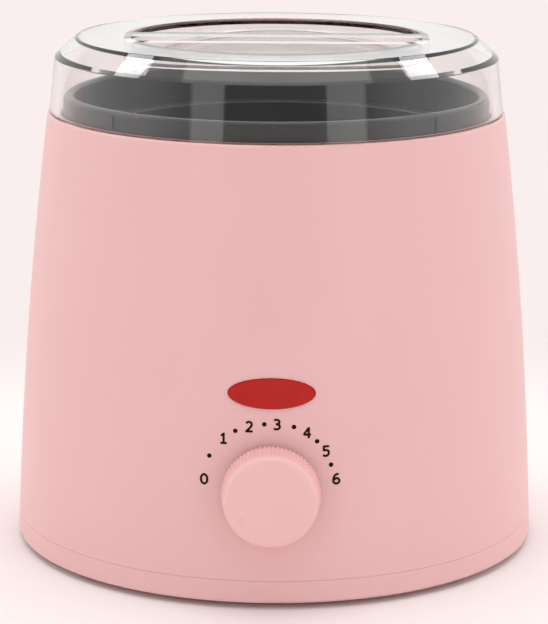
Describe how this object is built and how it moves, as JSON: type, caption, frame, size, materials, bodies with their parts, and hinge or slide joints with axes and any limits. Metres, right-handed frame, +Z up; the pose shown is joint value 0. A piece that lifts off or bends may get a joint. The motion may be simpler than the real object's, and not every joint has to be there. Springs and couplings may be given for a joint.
{
  "type": "wax warmer",
  "caption": "Flared round wax warmer with a lift-out pot in a dark collar, a clear lid with a grip bar, a red pilot lens and a thermostat knob.",
  "frame": {"origin": "on the housing's axis, at the surface that the feet stand on", "axes": "+Z up along the housing's axis, +Y to the rear where the cord goes in, knob facing -Y"},
  "size_m": [0.1753, 0.1947, 0.1698],
  "materials": {
    "pink_plastic": "satin moulded plastic, pale pink",
    "pink_knob": "satin moulded plastic, lighter pink",
    "dark_plastic": "satin heat-resistant plastic, near black",
    "dial_ink": "pad-printed ink, dark maroon",
    "clear_plastic": "clear polished plastic",
    "red_lens": "translucent red plastic",
    "coated_pot": "dark non-stick coating",
    "bare_aluminium": "spun, satin",
    "cast_aluminium": "cast",
    "zinc_steel": "zinc plated",
    "brass_plain": "plain",
    "copper_tube": "copper",
    "mica": "pressed mica",
    "switch_plastic": "phenolic",
    "block_plastic": "natural polyamide",
    "gland_plastic": "black polyamide",
    "lamp_glass": "clear glass",
    "rubber_grey": "dark rubber",
    "lead_brown": "silicone insulation",
    "lead_blue": "silicone insulation",
    "lead_green": "silicone insulation"
  },
  "bodies": {
    "housing": {"housing_shell": "pink_plastic", "bottom_cover": "pink_plastic", "rubber_feet": "rubber_grey", "cover_screws": "zinc_steel", "collar": "dark_plastic", "collar_screws": "zinc_steel", "heating_chamber": "bare_aluminium", "chamber_screws": "zinc_steel", "heating_element": "cast_aluminium", "heater_insulation": "mica", "heater_clamp_plate": "zinc_steel", "earth_tag": "brass_plain", "clamp_nut": "zinc_steel", "thermal_fuse": "zinc_steel", "fuse_clip": "zinc_steel", "sensor_bulb": "copper_tube", "sensor_band": "zinc_steel", "capillary_tube": "copper_tube", "thermostat_body": "switch_plastic", "thermostat_nut": "brass_plain", "thermostat_bracket": "zinc_steel", "bracket_screws": "zinc_steel", "lamp_holder": "switch_plastic", "neon_lamp": "lamp_glass", "indicator_lens": "red_lens", "terminal_block": "block_plastic", "terminal_screws": "zinc_steel", "live_lead": "lead_brown", "fuse_lead": "lead_brown", "heater_lead": "lead_brown", "neutral_lead": "lead_blue", "earth_lead": "lead_green", "lamp_leads": "lead_brown", "cord_gland": "gland_plastic", "gland_nut": "gland_plastic"},
    "knob": {"control_knob": "pink_knob", "thermostat_shaft": "zinc_steel"},
    "pot": {"wax_pot": "coated_pot"},
    "lid": {"lid": "clear_plastic"}
  },
  "joints": [
    {"name": "knob_turn", "type": "hinge", "parent": "housing", "child": "knob", "pos_m": [0, -0.0932, 0.0376], "axis": [0, 1, 0], "range_deg": [0, 203]},
    {"name": "pot_lift", "type": "slide", "parent": "housing", "child": "pot", "axis": [0, 0, 1], "range_m": [0, 0.09]},
    {"name": "lid_lift", "type": "slide", "parent": "pot", "child": "lid", "axis": [0, 0, 1], "range_m": [0, 0.08]}
  ]
}
